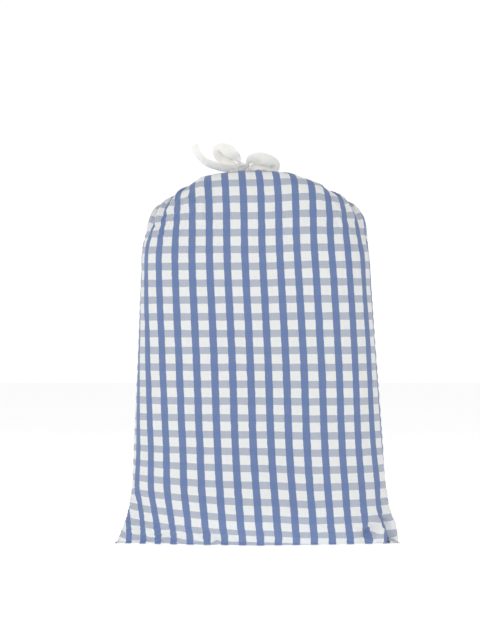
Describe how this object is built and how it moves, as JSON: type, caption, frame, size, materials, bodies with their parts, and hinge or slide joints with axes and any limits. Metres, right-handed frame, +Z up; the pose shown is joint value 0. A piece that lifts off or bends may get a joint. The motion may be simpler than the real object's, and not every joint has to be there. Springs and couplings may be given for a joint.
{
  "type": "drawstring sack",
  "caption": "Filled cotton drawstring sack that stands on its base, its gathered mouth tied shut with a flat tape bow.",
  "frame": {"origin": "centre of the base, on the surface that the sack stands on", "axes": "+Z up, from the base to the tied mouth; the smooth front face looks towards -Y"},
  "size_m": [0.4012, 0.152, 0.5661],
  "materials": {
    "checked_cloth": "woven check of blue warp bands and pale grey weft bands on off-white cotton",
    "seam_cloth": "overlocked cut edge of the same cotton",
    "tape": "soft undyed cotton twill tape",
    "thread": "off-white sewing thread",
    "wadding": "soft undyed quilted cotton"
  },
  "bodies": {
    "sack": {"front_panel": "checked_cloth", "back_panel": "checked_cloth", "left_side_seam": "seam_cloth", "right_side_seam": "seam_cloth", "bottom_seam": "seam_cloth", "load_fold_front": "wadding", "load_fold_middle": "wadding", "load_fold_back": "wadding"},
    "neck": {"neck_gather": "checked_cloth", "front_casing": "checked_cloth", "back_casing": "checked_cloth", "left_buttonhole": "thread", "right_buttonhole": "thread", "drawstring": "tape", "bow_knot": "tape"},
    "left_loop": {"left_loop": "tape"},
    "right_loop": {"right_loop": "tape"},
    "left_tail": {"left_tail": "tape"},
    "right_tail": {"right_tail": "tape"}
  },
  "joints": [
    {"name": "neck_fold", "type": "hinge", "parent": "sack", "child": "neck", "pos_m": [-0.022, 0.018, 0.494], "axis": [1, 0, 0], "range_deg": [-9, 8]},
    {"name": "left_loop_swing", "type": "hinge", "parent": "neck", "child": "left_loop", "pos_m": [-0.022, -0.0027, 0.5282], "axis": [0, 1, 0], "range_deg": [0, 20]},
    {"name": "right_loop_swing", "type": "hinge", "parent": "neck", "child": "right_loop", "pos_m": [-0.022, -0.0027, 0.5282], "axis": [0, 1, 0], "range_deg": [-20, 0]},
    {"name": "left_tail_swing", "type": "hinge", "parent": "neck", "child": "left_tail", "pos_m": [-0.022, -0.0027, 0.5282], "axis": [0, 0, 1], "range_deg": [0, 15]},
    {"name": "right_tail_swing", "type": "hinge", "parent": "neck", "child": "right_tail", "pos_m": [-0.022, -0.0027, 0.5282], "axis": [1, 0, 0], "range_deg": [0, 15]}
  ]
}
